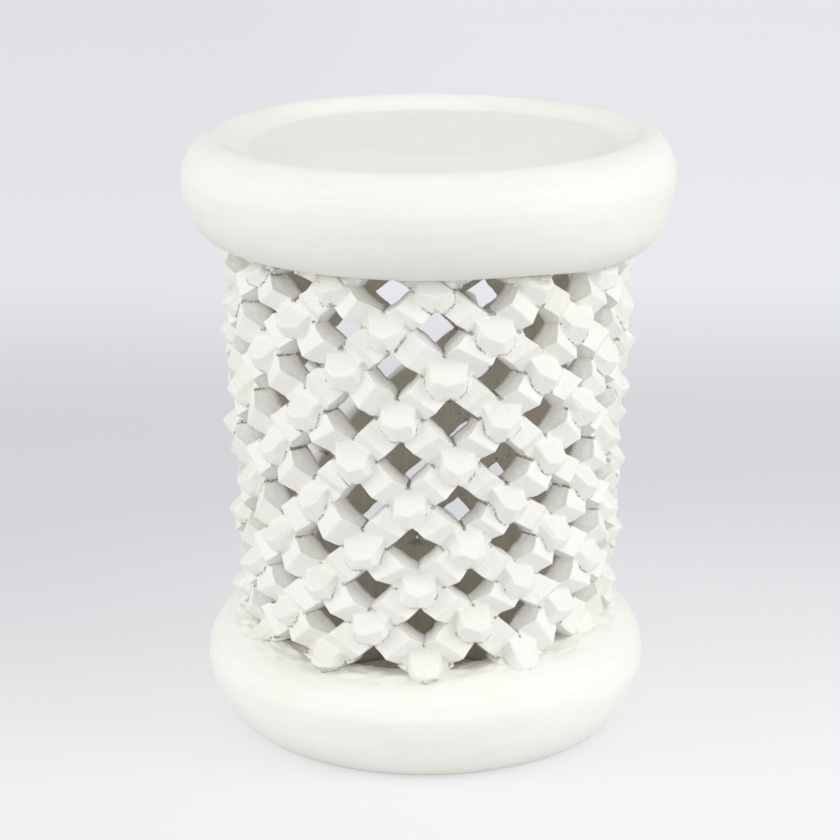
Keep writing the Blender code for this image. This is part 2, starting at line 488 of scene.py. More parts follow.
@dataclass(frozen=True)
class BareWood:
    """Raw wood in the drum where the brush did not reach, painted pale as painted light: little light gets
    there.
    """

    light: Triple = (0.97, 0.92, 0.82)
    dark: Triple = (0.89, 0.83, 0.725)
    grain: Triple = (260.0, 260.0, 14.0)
    grain_band: Span = (0.3, 0.7)

    def colour(self, wiring: Wiring) -> Socket:
        """Upright grain: noise drawn out along the height."""
        grain = wiring.streaks(wiring.place, self.grain, 4.0, 0.6)
        return wiring.blend(wiring.band(grain, *self.grain_band), self.dark, self.light)


@dataclass(frozen=True)
class StrandFinish:
    """Paint on the strands that thins out into the holes, with torn corners and crumbs round the bosses.

    Shares weigh the dark spots, depths are those of the bumps in metres, and spans are where a step starts
    and where it is complete.
    """

    paint: WhitePaint
    wood: BareWood
    half_width: float
    # Painted light: the paler paint colour below is laid on the walls of the holes to lift the shade there
    painted_wall_light: Triple = (0.955, 0.948, 0.905)
    speck: Triple = (0.60, 0.56, 0.48)
    crack: Triple = (0.20, 0.16, 0.12)
    crumb_share: float = 0.80
    dark_share: float = 0.85
    wall_specks: float = 0.30
    face_specks: float = 0.06
    lump_depth: float = 0.0008
    fibre_depth: float = 0.00040
    pimple_depth: float = 0.00016
    dark_depth: float = 0.0006
    wall_band: Span = (0.03, 0.30)
    bare_walls: Span = (0.88, 1.24)
    torn_cuts: Span = (0.22, 0.60)
    curl_line: Span = (0.075, 0.025)
    crack_line: Span = (0.026, 0.008)
    crack_edge: Span = (0.90, 0.99)
    fibres: Triple = (700.0, 700.0, 120.0)
    lumps: Blotches = Blotches(130.0, 3.0)
    specks: Blotches = Blotches(900.0, 2.0, 0.56, 0.70)
    pimples: Blotches = Blotches(620.0, 1.0, 0.60, 0.72)
    broad_reach: Blotches = Blotches(34.0, 1.0, -0.45, 0.45)
    ragged_reach: Blotches = Blotches(240.0, 3.0, -0.12, 0.12)
    curls: Blotches = Blotches(430.0, 2.0, -0.5, 0.5, roughness=0.6)
    crack_wobble: Blotches = Blotches(300.0, 3.0, -0.06, 0.06)
    crack_tears: Blotches = Blotches(560.0, 3.0, 0.46, 0.54, roughness=0.7)
    crack_patches: Blotches = Blotches(120.0, 3.0, 0.46, 0.56)

    def material(self) -> bpy.types.Material:
        """Make the strands' material.

        Returns:
            The material, which reads the pattern coordinates and the numbers stored on each strand.
        """
        wiring = Wiring("painted_strand")
        crumbs = wiring.calc("MULTIPLY", self._crumbs(wiring), self.crumb_share)
        dark = wiring.calc("MAXIMUM", self._cracks(wiring), crumbs)
        # Painted light: the walls of the holes take the paler paint colour, which lifts their shade; the same
        # wall mask weighs the specks
        on_walls = wiring.band(wiring.grid_value("wall"), *self.wall_band)
        colour = wiring.blend(on_walls, self.paint.colour(wiring), self.painted_wall_light)
        colour = wiring.blend(self._bare(wiring), colour, self.wood.colour(wiring))
        speck_share = wiring.calc("MULTIPLY_ADD", on_walls, self.wall_specks, self.face_specks)
        specks = wiring.calc("MULTIPLY", wiring.patches(self.specks), speck_share)
        colour = wiring.blend(specks, colour, self.speck)
        colour = wiring.blend(wiring.calc("MULTIPLY", dark, self.dark_share), colour, self.crack)
        fibres = wiring.streaks(wiring.place, self.fibres, 3.0, 0.6)
        normal = wiring.relief((wiring.noise(self.lumps), self.lump_depth), (fibres, self.fibre_depth),
                               (wiring.patches(self.pimples), self.pimple_depth),
                               (wiring.calc("SUBTRACT", 1.0, dark), self.dark_depth))
        return self.paint.surface(wiring, colour, normal)

    def _bare(self, wiring: Wiring) -> Socket:
        """Bareness, 1 on raw wood: the paint thins out into the holes, further on some walls than others."""
        uneven = wiring.calc("ADD", wiring.swing(self.broad_reach), wiring.swing(self.ragged_reach))
        return wiring.band(wiring.calc("ADD", uneven, wiring.grid_value("wall")), *self.bare_walls)

    def _crumbs(self, wiring: Wiring) -> Socket:
        """Dark curls between torn fibres, 1 on a curl, where the strand stores that its cut is torn."""
        curls = wiring.band(wiring.calc("ABSOLUTE", wiring.swing(self.curls)), *self.curl_line)
        return wiring.calc("MULTIPLY", curls, wiring.band(wiring.grid_value("torn"), *self.torn_cuts))

    def _cracks(self, wiring: Wiring) -> Socket:
        """Torn brown lines where two walls of a hole meet.

        The strand stores how far along it each point lies from the wall of the strand that it crosses, and
        its pattern coordinates give the offset across it.

        Args:
            wiring: material under construction.

        Returns:
            1 in a crack and 0 outside.
        """
        across = wiring.axes(wiring.pattern)[1]
        corner = wiring.calc("ADD", wiring.grid_value("corner"), wiring.swing(self.crack_wobble))
        line = wiring.band(wiring.calc("ABSOLUTE", corner), *self.crack_line)
        crease = wiring.calc("MULTIPLY", line, wiring.patches(self.crack_tears))
        start, end = (share * self.half_width for share in self.crack_edge)
        near_wall = wiring.band(wiring.calc("ABSOLUTE", across), start, end)
        crease = wiring.calc("MULTIPLY", crease, near_wall)
        return wiring.calc("MULTIPLY", crease, wiring.patches(self.crack_patches))


@dataclass(frozen=True)
class TurnedFinish:
    """Paint on the seat or the foot ring, brushed round the object, with bare wood where the drum is open.

    Widths are those of the brush marks and depths those of the bumps, in metres.
    """

    name: str
    paint: WhitePaint
    wood: BareWood
    streak_width: float = 0.0022
    streak_depth: float = 0.00022
    stroke: Triple = (0.80, 0.79, 0.725)
    stroke_share: float = 0.28
    stroke_width: float = 0.0065
    stroke_turns: float = 2.6
    stroke_band: Span = (0.46, 0.72)
    least_radius: float = 0.004
    lumps: Blotches = Blotches(38.0, 3.0)
    lump_depth: float = 0.0012
    specks: Blotches = Blotches(520.0, 1.0, 0.72, 0.80)
    speck_depth: float = 0.00012
    bare_band: Span = (0.4, 0.6)

    def material(self) -> bpy.types.Material:
        """Make the material; brush streaks run round the axis, and bareness is stored on the piece.

        Returns:
            The material.
        """
        wiring = Wiring(self.name)
        x, y, z = wiring.axes(wiring.place)
        radius = wiring.length(x, y)
        safe = wiring.calc("MAXIMUM", radius, self.least_radius)
        around = [wiring.calc("DIVIDE", part, safe) for part in (x, y)]
        parts = dict(enumerate([*around, wiring.calc("SUBTRACT", radius, z)]))
        turned = wiring.node("CombineXYZ", parts).outputs[0]
        streaks = wiring.streaks(turned, (1.0, 1.0, 1.0 / self.streak_width), 3.0, 0.55)
        reach = (self.stroke_turns, self.stroke_turns, 1.0 / self.stroke_width)
        strokes = wiring.band(wiring.streaks(turned, reach, 3.0, 0.6), *self.stroke_band)
        strokes = wiring.calc("MULTIPLY", strokes, self.stroke_share)
        colour = wiring.blend(strokes, self.paint.colour(wiring), self.stroke)
        bare = wiring.band(wiring.grid_value("bare"), *self.bare_band)
        colour = wiring.blend(bare, colour, self.wood.colour(wiring))
        normal = wiring.relief((wiring.noise(self.lumps), self.lump_depth), (streaks, self.streak_depth),
                               (wiring.patches(self.specks), self.speck_depth))
        return self.paint.surface(wiring, colour, normal)


# The drum

class Family(Enum):
    """The two directions in which the strands fall, seen from outside."""

    RIGHT = "right_strand"
    LEFT = "left_strand"


@dataclass(frozen=True)
class BossPlane:
    """One cut of a boss: the way it faces, seen from outside, and the ranges of its slope and start.

    The cut starts at a distance from the middle of the boss, in metres, and falls from there with its slope.
    turn is how far its direction may stray, in radians.
    """

    side: float
    up: float
    slopes: Span
    starts: Span
    turn: float


def both_sides(side: float, up: float, slopes: Span, starts: Span, turn: float) -> tuple[BossPlane, ...]:
    """The same cut on the left and on the right of a boss."""
    return tuple(BossPlane(sign * side, up, slopes, starts, turn) for sign in (-1.0, 1.0))


FACET_TURN = 0.22
FLANK_TURN = 0.12
FLANK_SLOPES = (2.0, 3.2)
BOSS_PLANES = (
    BossPlane(0.0, 1.0, (0.90, 1.16), (-0.0012, 0.0010), 0.20),
    *both_sides(0.88, 0.47, (0.70, 1.20), (0.0056, 0.0080), FACET_TURN),
    BossPlane(0.0, -1.0, (0.52, 0.85), (-0.0014, 0.0022), FACET_TURN),
    *both_sides(0.72, -0.69, (0.58, 1.00), (-0.0014, 0.0018), FACET_TURN),
    *both_sides(1.0, 0.0, FLANK_SLOPES, (0.0090, 0.0110), FLANK_TURN),
    BossPlane(0.0, -1.0, FLANK_SLOPES, (0.0074, 0.0092), FLANK_TURN),
    *both_sides(0.62, -0.78, FLANK_SLOPES, (0.0086, 0.0102), FLANK_TURN),
)
SPARE_ROWS = 2


@dataclass
class DrumLattice:
    """Layout of the drum: ten rows of twelve crossings, with the small errors of carving by eye.

    Lengths are in metres and angles in radians. Changes are over rows, apart from low_spread, which is over a
    level of -1 at the first row to 1 at the last. Values that begin with broad or slim are shares of a width.
    Spans are ranges of random numbers, and left_side is where the left side of the drum starts and is full.
    """

    seat_underside: float
    foot_crest: float
    seat_radius: float
    foot_radius: float
    strands: int = 12
    rows: int = 10
    top_row_below_seat: float = 0.0035
    bottom_row_below_crest: float = 0.0032
    seat_overhang: float = 0.0245
    foot_overhang: float = 0.0195
    pitch_shrink: float = 0.0006
    first_angle: float = math.radians(2.7)
    twist: float = math.radians(1.36)
    strand_width: float = 0.0214
    inner_width: float = 0.0242
    wall_depth: float = 0.027
    row_bow: float = 0.0084
    row_tilt: float = 0.0130
    turn_bow: float = math.radians(1.2)
    neck: Change = Change(0.005, 0.75, -0.2)
    broad_top: Change = Change(0.10, 3.4, 0.6)
    slim_top: Change = Change(0.33, 1.05, 0.55)
    broad_low: Change = Change(0.14, 5.4, 7.4)
    broad_low_end: Change = Change(1.0, 9.6, 8.3)
    broad_back: float = 0.05
    broad_end: Change = Change(0.15, 8.95, 9.3)
    boss_peaks: Span = (-0.0004, 0.0026)
    boss_shrink: Change = Change(0.15, 1.5, 4.0)
    left_side: Span = (0.25, 0.80)
    left_shrink: float = 0.16
    left_steep: float = 0.35
    boss_drop: float = 0.0034
    foot_sag: Change = Change(0.0065, 8.15, 9.1)
    foot_skirt: float = 0.006
    low_spread: Change = Change(0.04, -0.2, 0.6)
    back_lift: float = 0.0058
    back_lift_growth: float = 0.0133
    back_turn: float = -0.187
    side_shift: float = -0.0010
    place_error: float = 0.0012
    reach_errors: Span = (-0.7, 0.5)
    seed: int = 41

    def __post_init__(self) -> None:
        """Work out the pitches and the widths, and draw the errors."""
        self.top_row_z = self.seat_underside - self.top_row_below_seat
        self.bottom_row_z = self.foot_crest - self.bottom_row_below_crest
        self.last_row = self.rows - 1
        self.mean_pitch = (self.top_row_z - self.bottom_row_z) / self.last_row
        self.top_pitch = self.mean_pitch + 0.5 * self.pitch_shrink * self.last_row
        self.top_radius = self.seat_radius - self.seat_overhang
        self.bottom_radius = self.foot_radius - self.foot_overhang
        self.mean_radius = 0.5 * (self.top_radius + self.bottom_radius)
        self.step = 2.0 * math.pi / self.strands
        self.right_turn = 0.5 * self.step + self.twist
        self.left_turn = 0.5 * self.step - self.twist
        run = self.mean_radius * 0.5 * self.step
        self.cell_length = math.hypot(run, self.mean_pitch)
        slant = 2.0 * math.atan2(self.mean_pitch, run)
        self.half_width = 0.5 * self.strand_width / (self.cell_length * math.sin(slant))
        self.taper = self.inner_width / self.strand_width - 1.0
        self._draw_errors()

    def _draw_errors(self) -> None:
        """Draw the random errors of every crossing; bosses are smaller low down and on the left."""
        table = (self.strands, self.rows + 2 * SPARE_ROWS)
        draw = np.random.default_rng(self.seed)
        self.side_error = self.place_error * draw.uniform(-1.0, 1.0, table)
        self.height_error = self.place_error * draw.uniform(-1.0, 1.0, table)
        self.reach_error = self.place_error * draw.uniform(*self.reach_errors, table)
        self.boss_peak = draw.uniform(*self.boss_peaks, table)
        strand = np.arange(self.strands)[:, None]
        row = np.arange(table[1])[None, :] - float(SPARE_ROWS)
        angle = self.first_angle + self.step * strand + self.right_turn * row
        left = smoothstep(*self.left_side, -np.sin(angle))
        size = 1.0 - self.boss_shrink.at(row)
        size = size * (1.0 - self.left_shrink * left)
        foot = np.where(row == self.last_row, self.foot_skirt, 0.0)
        self.boss_cuts = []
        for plane in BOSS_PLANES:
            slope = draw.uniform(*plane.slopes, table) * (1.0 + self.left_steep * left * max(plane.up, 0.0))
            start = draw.uniform(*plane.starts, table) * size + foot * max(-plane.up, 0.0)
            turn = draw.uniform(-plane.turn, plane.turn, table)
            self.boss_cuts.append((plane, slope, start, turn))

    def row_height(self, row: Array) -> Array:
        """Height of a row; the pitch shrinks evenly down the drum."""
        return self.top_row_z - row * (self.top_pitch - 0.5 * self.pitch_shrink * row)

    def tip_radius(self, row: Array) -> Array:
        """Radius of the boss and ridge tips, narrowing evenly downwards, and drawn in close to the seat."""
        share = (self.top_row_z - self.row_height(row)) / (self.top_row_z - self.bottom_row_z)
        return self.top_radius + share * (self.bottom_radius - self.top_radius) - self.neck.at(row)

    def breadth(self, row: Array, angle: Array) -> Array:
        """Width of the bars against their mean: broader high up, low down, on the foot ring and behind.

        Args:
            row: row coordinate.
            angle: angle round the axis, 0 in front.

        Returns:
            Factors, about 1.
        """
        low = self.broad_low.at(row) * self.broad_low_end.at(row)
        front = 1.0 + self.broad_top.at(row) + low + self.broad_end.at(row)
        return front + self.broad_back * (0.5 - 0.5 * np.cos(angle)) ** 2

    def crossing_error(self, errors: Array, across: Array, row: Array) -> Array:
        """Blend the errors of the four crossings round a point of the lattice.

        Args:
            errors: one number for each right strand and row.
            across: right-strand coordinate, a whole number on each right strand.
            row: row coordinate.

        Returns:
            The blended error.
        """
        other = row + across
        first = np.floor(across).astype(int)
        second = np.floor(other).astype(int)
        share_first = smoothstep(0.0, 1.0, across - first)
        share_second = smoothstep(0.0, 1.0, other - second)
        total = np.zeros(np.broadcast(across, row).shape)
        for step_first, step_second in itertools.product((0, 1), repeat=2):
            strand = first + step_first
            level = np.clip(second + step_second - strand + SPARE_ROWS, 0, errors.shape[1] - 1)
            weight = share_first if step_first else 1.0 - share_first
            weight = weight * (share_second if step_second else 1.0 - share_second)
            total = total + weight * errors[strand % self.strands, level]
        return total

    def boss_height(self, strand: Array, row: Array, side: Array, up: Array, blend: float) -> Array:
        """Height of a faceted boss over the tip radius: the lowest of its cuts.

        A broad cut faces up and steeper ones face down, so that they meet in a bent ridge below the middle.
        Slanted cuts trim the upper corners, and steep flanks stand round the sides and the foot of the boss.

        Args:
            strand: number of the right strand at the crossing.
            row: number of the crossing's row.
            side: distance to the right of the crossing, in metres.
            up: distance above the crossing, in metres.
            blend: rounding of the creases.

        Returns:
            Heights, 0 at a full boss and falling without end outside it.
        """
        at = strand % self.strands, np.clip(row + SPARE_ROWS, 0, self.boss_peak.shape[1] - 1)
        peak = self.boss_peak[at]
        up = up + self.boss_drop
        face = peak
        for plane, slope, start, turn in self.boss_cuts:
            reach = side * (plane.side - turn[at] * plane.up) + up * (plane.up + turn[at] * plane.side)
            face = soft_min(face, peak - slope[at] * (reach - start[at]), blend)
        return face

    def place(self, across: Array, other: Array, radius: Array) -> Array:
        """Point of the drum for lattice coordinates and a nominal radius.

        The angle grows with both strand coordinates and the height falls with their difference, the row. The
        rows bow a little, and tilt one way above the middle of the drum and the other way below it. Behind,
        the middle rows stand higher and the strands are turned a little, as seen through the holes. The low
        rows are spread a little in front, and the last one is sunk into the foot ring.

        Args:
            across: right-strand coordinate.
            other: left-strand coordinate.
            radius: nominal distance from the axis.

        Returns:
            Points, last axis of three.
        """
        row = other - across
        level = np.clip(2.0 * row / self.last_row - 1.0, -1.1, 1.1)
        bow = level - level ** 3
        angle = self.first_angle + self.left_turn * across + self.right_turn * other
        angle = angle + self.turn_bow * (0.5 - level * level)
        height = self.row_height(row) + bow * (self.row_tilt * np.sin(angle) - self.row_bow)
        back = (0.5 - 0.5 * np.cos(angle)) ** 2
        lift = back * (self.back_lift + self.back_lift_growth * level)
        height = height + lift * np.maximum(1.0 - level * level, 0.0)
        spread = self.low_spread.at(level) * np.sin(angle)
        angle = angle + back * self.back_turn + spread
        height = height - self.foot_sag.at(row)
        height = height + self.crossing_error(self.height_error, across, row)
        angle = angle + self.crossing_error(self.side_error, across, row) / self.mean_radius
        reach = radius + self.crossing_error(self.reach_error, across, row)
        return np.stack([reach * np.sin(angle) + self.side_shift, -reach * np.cos(angle), height], axis=-1)


@dataclass
class Strand:
    """One slanted bar of the drum, from the seat down to the foot ring.

    The bar is a grid: stations run down the bar and a ring of points runs round its section, over the carved
    outer face, in along the lower wall of the hole, across the inner face and out along the upper wall.
    Lengths are in metres. Spans are ranges of random numbers. Changes are over rows, apart from sink, which
    is over the distance from a crossing in half widths.
    """

    lattice: DrumLattice
    family: Family
    number: int
    first_row: float = -0.5
    last_row: float = 9.31
    stations_per_row: int = 54
    outer_points: int = 33
    wall_points: int = 8
    inner_points: int = 5
    crowding: float = 0.4
    wall_crowding: float = 1.6
    corner_depth: float = 0.985
    corner_share: float = 0.96
    ridge_strays: Span = (-0.05, 0.05)
    ridge_skews: Span = (-0.22, 0.22)
    ridge_drops: Span = (0.0030, 0.0072)
    slopes_above: Span = (0.36, 0.60)
    slopes_below: Span = (0.60, 0.92)
    cross_tilts: Span = (-0.08, 0.08)
    relief: float = 0.0145
    edge_round: float = 0.0005
    crease_round: float = 0.0003
    boss_round: float = 0.0010
    joint_round: float = 0.0018
    sink: Change = Change(0.005, 0.92, 0.78)
    end_sink: Change = Change(0.004, 9.26, 9.31)
    waver: Waver = Waver(0.10, 2.1, 11)
    fine_waver: Waver = Waver(0.05, 7.0, 12)
    ragged: Waver = Waver(0.07, 32.0, 13)
    chisel: Waver = Waver(0.0050, 26.0, 24)
    rough: Roughness = Roughness(0.00022, 0.0060, 21)
    fine_rough: Roughness = Roughness(0.00012, 0.0022, 22)
    inner_rough: Roughness = Roughness(0.0008, 0.008, 23)
    grit: Roughness = Roughness(1.3, 0.0019, 25)
    fine_grit: Roughness = Roughness(0.6, 0.0011, 27)
    crumb_size: float = 0.0011
    torn_seam: float = 0.0003
    torn_seam_width: float = 0.0011
    torn_corner: float = 0.035
    torn_top: Change = Change(0.41, 0.16, -0.04)
    torn_foot: Change = Change(0.45, 9.02, 9.25)
    torn_patches: Roughness = Roughness(1.0, 0.012, 26)
    inner_bare: float = 0.35

    def __post_init__(self) -> None:
        """Draw the random shape of every ridge on this strand."""
        start = 0 if self.family is Family.RIGHT else self.lattice.strands
        draw = np.random.default_rng(self.lattice.seed * 1000 + start + self.number)
        count = self.lattice.rows + 2 * SPARE_ROWS
        self.ridge_place = 0.5 + draw.uniform(*self.ridge_strays, count)
        self.ridge_skew = draw.uniform(*self.ridge_skews, count)
        self.ridge_drop = draw.uniform(*self.ridge_drops, count)
        self.slope_above = draw.uniform(*self.slopes_above, count)
        self.slope_below = draw.uniform(*self.slopes_below, count)
        self.cross_tilt = draw.uniform(*self.cross_tilts, count)

    @property
    def name(self) -> str:
        """Name of the solid that the piece stands for."""
        return f"{self.family.value}_{self.number + 1:02d}"

    def noise_key(self, step: float, left: float) -> float:
        """Place in a noise that this strand alone reads."""
        return step * self.number + (left if self.family is Family.LEFT else 0.0)

    def from_crossing(self, along: Array) -> Array:
        """Distance along the bar to the nearest crossing, in half widths."""
        return np.abs(along - np.round(along)) / self.lattice.half_width

    def section(self) -> tuple[Array, Array]:
        """Ring of the section, with the outer points crowded towards the edges.

        Returns:
            The share across the bar, from -1 to 1, and the share of the wall's depth, from 0 to 1.
        """
        even = np.linspace(-1.0, 1.0, self.outer_points)
        outer = (1.0 - self.crowding) * even + self.crowding * np.sin(0.5 * math.pi * even)
        wall = np.linspace(0.0, 1.0, self.wall_points + 1)[1:] ** self.wall_crowding
        wall[-1] = self.corner_depth
        inner = np.linspace(1.0, -1.0, self.inner_points + 2)
        inner[[0, -1]] = self.corner_share, -self.corner_share
        share = np.concatenate([outer, np.ones(len(wall)), inner, -np.ones(len(wall))])
        depth = np.concatenate([np.zeros(len(outer)), wall, np.ones(len(inner)), wall[::-1]])
        return share, depth

    def half_widths(self, along: Array) -> tuple[Array, Array]:
        """Half widths on both sides of the centre line, wavering between the crossings and torn near them.

        Args:
            along: row coordinate down the bar.

        Returns:
            The half width towards the hole above and towards the hole below, in lattice units.
        """
        lattice = self.lattice
        near = self.from_crossing(along)
        free = smoothstep(1.0, 1.5, near)
        beside = smoothstep(1.6, 1.15, near) * smoothstep(0.95, 1.05, near)
        turn = lattice.right_turn if self.family is Family.RIGHT else -lattice.left_turn
        angle = lattice.first_angle + lattice.step * self.number + turn * along
        broad = lattice.half_width * lattice.breadth(along, angle)
        widths = []
        for side in (0.0, 40.0):
            key = self.noise_key(7.3, 100.0) + side
            waver = self.waver.at(along, key, 0.0) + self.fine_waver.at(along, key, 3.0)
            widths.append(broad * (1.0 + free * waver + beside * self.ragged.at(along, key, 6.0)))
        above, below = widths
        return above * (1.0 - lattice.slim_top.at(along)), below

    def roof(self, along: Array, across: Array) -> Array:
        """Height of the bar's roof over its tip radius.

        Between two crossings two flat cuts meet in a crisp ridge across the bar, half way: a gentle one above
        it and a steeper one below. The roof never falls below the valley at the crossings.

        Args:
            along: row coordinate down the bar.
            across: offset across the bar, in lattice units, growing downwards.

        Returns:
            Heights, 0 at a full ridge and at least minus the relief.
        """
        segment = np.floor(along).astype(int) + SPARE_ROWS
        middle = self.ridge_place[segment] + self.ridge_skew[segment] * across
        offset = (along - np.floor(along) - middle) * self.lattice.cell_length
        tilt = self.cross_tilt[segment] * across * self.lattice.cell_length
        gentle = self.slope_above[segment] * offset
        steep = -self.slope_below[segment] * offset
        face = soft_min(gentle, steep, self.crease_round) + tilt - self.ridge_drop[segment]
        return soft_max(face, np.full_like(face, -self.relief), self.crease_round)

    def boss(self, along: Array, across: Array) -> Array:
        """Height of the boss at the nearest crossing, whose errors both strands there share.

        Args:
            along: row coordinate down the bar.
            across: offset across the bar, in lattice units, growing downwards.

        Returns:
            Heights over the tip radius; far below the valley outside the boss.
        """
        lattice = self.lattice
        row = np.round(along).astype(int)
        local = along - row
        up = -lattice.mean_pitch * (local + across)
        if self.family is Family.RIGHT:
            side = lattice.mean_radius * (lattice.right_turn * local - lattice.left_turn * across)
            return lattice.boss_height(np.full_like(row, self.number), row, side, up, self.boss_round)
        side = lattice.mean_radius * (lattice.right_turn * across - lattice.left_turn * local)
        return lattice.boss_height(self.number - row, row, side, up, self.boss_round)

    def outer_height(self, along: Array, across: Array, edge_gap: Array) -> tuple[Array, Array]:
        """Height of the carved outer face: the roof with its bosses, rounded along the holes.

        A left strand sinks out of sight under the right strands, and the ends sink into the foot ring.

        Args:
            along: row coordinate down the bar.
            across: offset across the bar, in lattice units.
            edge_gap: distance to the nearer edge of the bar, in metres.

        Returns:
            Heights over the tip radius, and how far the boss stands over the roof, 0 where they meet.
        """
        roof = self.roof(along, across)
        boss = self.boss(along, across)
        height = soft_max(roof, boss, self.joint_round)
        near = self.from_crossing(along)
        over = np.clip(self.edge_round - edge_gap, 0.0, self.edge_round) * smoothstep(0.98, 1.10, near)
        height = height - (self.edge_round - np.sqrt(self.edge_round ** 2 - over ** 2))
        if self.family is Family.LEFT:
            height = height - self.sink.at(near)
        height = height - self.end_sink.at(along)
        return height, boss - roof

    def torn(self, along: Array, across: Array, share: Array, seam: Array, beside: Array,
             solid: Array) -> Array:
        """How torn the cut is: in patches under the bosses, at the corners of the holes and at both ends.

        Args:
            along: row coordinate down the bar.
            across: offset across the bar, in lattice units.
            share: offset across the bar, from -1 to 1.
            seam: height of the boss over the roof.
            beside: distance along the bar to the wall of the crossing strand, in lattice units.
            solid: points of the drum, for the noise.

        Returns:
            0 where the cut is clean to 1 where it is full of torn bits.
        """
        row = along + across
        below = smoothstep(-0.03, 0.11, row - np.round(along))
        under_boss = np.exp(-((seam + self.torn_seam) / self.torn_seam_width) ** 2) * below
        corner = np.exp(-(beside / self.torn_corner) ** 2) * smoothstep(0.72, 0.95, np.abs(share))
        top = self.torn_top.at(row)
        foot = self.torn_foot.at(row)
        patchy = smoothstep(-0.60, 0.15, self.torn_patches.at(solid))
        return np.maximum.reduce([under_boss, corner, top, foot]) * patchy

    def points(self, along: Array, across: Array, radius: Array) -> Array:
        """Points of the drum for row coordinates down the bar, offsets across it and nominal radii."""
        first, second = (-across, along) if self.family is Family.RIGHT else (-along, across)
        return self.lattice.place(self.number + first, self.number + second, radius)

    def surface(self) -> GridSurface:
        """Work out the strand's grid and the numbers that its finish reads.

        Returns:
            The surface. "wall" is the depth into a hole, more on the inner face, "corner" the distance along
            the bar to the wall of the crossing strand, in lattice units, and "torn" how torn the cut is.
        """
        lattice = self.lattice
        share, depth = self.section()
        count = int((self.last_row - self.first_row) * self.stations_per_row) + 1
        along = np.linspace(self.first_row, self.last_row, count)
        width_above, width_below = self.half_widths(along)
        width = np.where(share[None, :] < 0.0, width_above[:, None], width_below[:, None])
        across = share[None, :] * width
        along = np.broadcast_to(along[:, None], across.shape)
        depth = np.broadcast_to(depth[None, :], across.shape)
        edge_gap = (1.0 - np.abs(share))[None, :] * width * lattice.cell_length
        tip = lattice.tip_radius(along + across)
        solid = self.points(along, across, tip)
        height, seam = self.outer_height(along, across, edge_gap)
        rough = self.rough.at(solid) + self.fine_rough.at(solid)
        beside = lattice.half_width * (self.from_crossing(along) - 1.0 - lattice.taper * depth)
        torn = self.torn(along, across, share, seam, beside, solid)
        grit = np.clip(self.grit.at(solid) + self.fine_grit.at(solid), -1.0, 1.0)
        outer = tip + height + rough + self.crumb_size * grit * torn
        inner = tip - lattice.wall_depth + self.inner_rough.at(solid)
        radius = outer * (1.0 - depth) + inner * depth
        wall = np.sign(across)
        chisel = self.chisel.at(along, depth * 1.6 + 10.0 * wall, self.noise_key(3.7, 60.0))
        across = across * (1.0 + lattice.taper * depth) + chisel * wall * smoothstep(0.0, 0.15, depth)
        values = {"wall": depth + self.inner_bare * (depth > 0.99), "corner": beside, "torn": torn}
        uv = np.stack([along, across], axis=-1)
        return GridSurface(f"carved_{self.name}", self.points(along, across, radius), uv=uv, values=values)

    def build(self, finish: bpy.types.Material) -> bpy.types.Object:
        """Make the strand and put it in the place of its solid.

        Args:
            finish: material of the strand.

        Returns:
            The new piece.
        """
        piece = self.surface().build()
        piece.data.materials.append(finish)
        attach(piece, "root")
        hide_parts(self.name)
        return piece


# The turned pieces

@dataclass(frozen=True)
class Lumps:
    """Soft unevenness round the axis: its strength, its pace along the outline, its waves and its seed."""

    amount: float
    pace: float
    waves: float
    seed: int


@dataclass
class TurnedPiece:
    """A piece that runs round the axis: an outline carried round it and left a little uneven."""

    name: str
    steps: int = 300
    seed: int = 5
    closed: bool = False

    def outline(self) -> tuple[Array, Array]:
        """Outline points and how bare each is; the pieces give their own."""
        raise NotImplementedError

    def uneven(self, angle: Array, radius: Array, height: Array) -> tuple[Array, Array, Array]:
        """Shift sideways, radius and height of the carried outline; the pieces give their own."""
        raise NotImplementedError

    def build(self, finish: bpy.types.Material) -> bpy.types.Object:
        """Carry the outline round the axis and put the piece in the place of its solid.

        Args:
            finish: material of the piece.

        Returns:
            The new piece.
        """
        outline, bareness = self.outline()
        turn = np.linspace(0.0, 2.0 * math.pi, self.steps, endpoint=False)
        columns = outline[:, :1], outline[:, 1:], bareness[:, None]
        angle, radius, height, bare = np.broadcast_arrays(turn[None, :], *columns)
        shift, radius, height = self.uneven(angle, radius, height)
        points = np.stack([radius * np.sin(angle) + shift, -radius * np.cos(angle), height], axis=-1)
        surface = GridSurface(f"carved_{self.name}", points, wrap_rows=self.closed, values={"bare": bare})
        piece = surface.build()
        piece.data.materials.append(finish)
        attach(piece, "root")
        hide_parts(self.name)
        self.name
        return piece

    def lumps(self, lumps: Lumps, angle: Array, level: Array) -> Array:
        """Noise along the outline and on a circle round the axis, so that it meets itself.

        Args:
            lumps: settings of the noise.
            angle: angle round the axis.
            level: place along the outline, in metres.

        Returns:
            The noise, up to its strength either way.
        """
        first = lumps.waves * np.sin(angle) + 20.0
        second = lumps.waves * np.cos(angle) + 20.0
        return lumps.amount * noise_at(first, second, level * lumps.pace, self.seed * 50 + lumps.seed)


